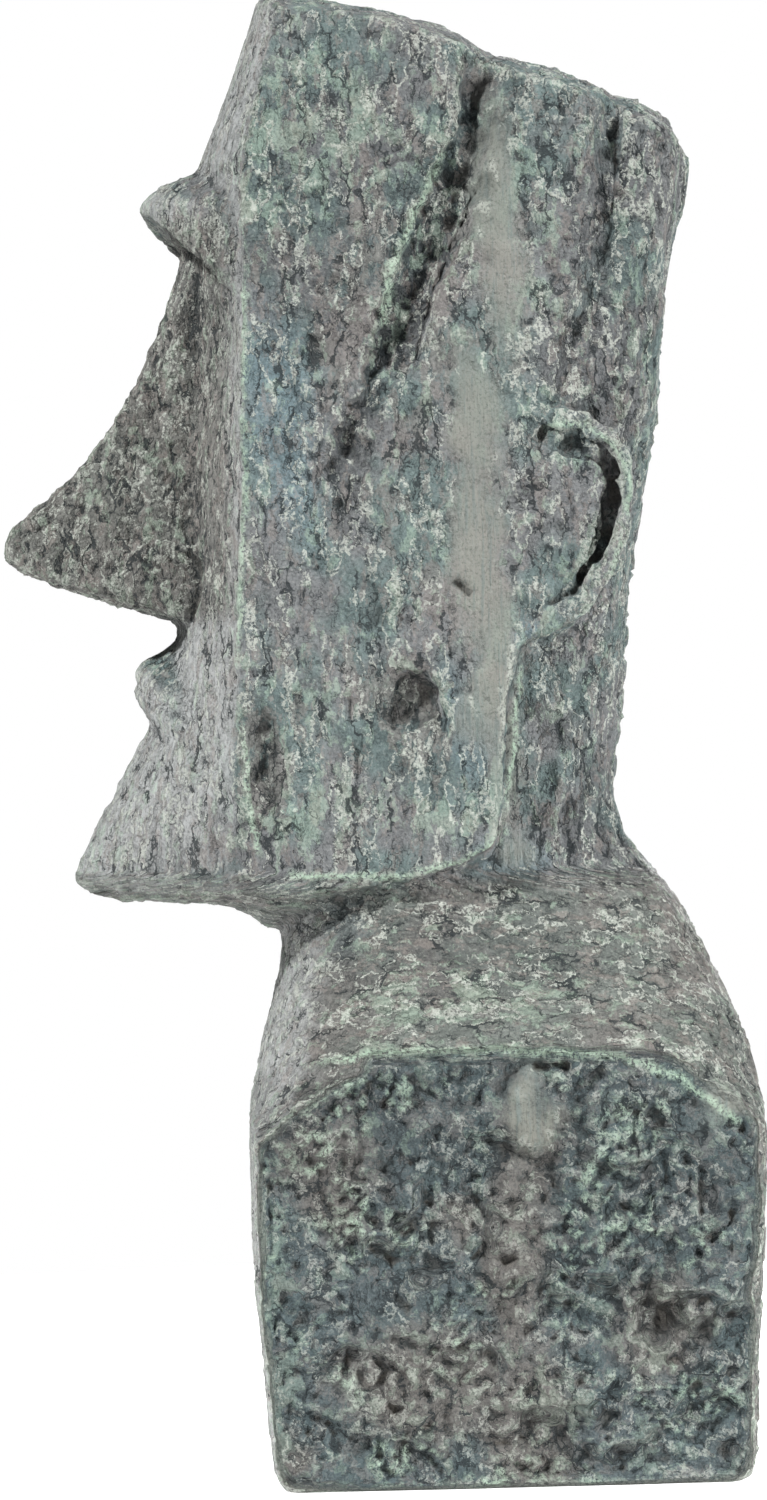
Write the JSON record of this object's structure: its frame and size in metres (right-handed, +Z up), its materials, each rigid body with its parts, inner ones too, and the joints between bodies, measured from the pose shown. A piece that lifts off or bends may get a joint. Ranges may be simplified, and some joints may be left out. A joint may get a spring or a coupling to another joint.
{
  "type": "moai garden statue",
  "caption": "Moai garden statue: tall stylised stone head with jutting brow, long nose, pursed lips and C-shaped ears, on a squared-off torso with a flat base.",
  "frame": {"origin": "on the ground, under the middle of the statue's length (nose to back) and width", "axes": "+Z up; the face looks along -Y; the statue's own left side is +X"},
  "size_m": [0.226, 0.3083, 0.5997],
  "materials": {
    "statue_stone": "rough weathered stone with a pale green dry-brushed patina"
  },
  "bodies": {
    "root": {"moai_statue": "statue_stone"}
  },
  "joints": []
}
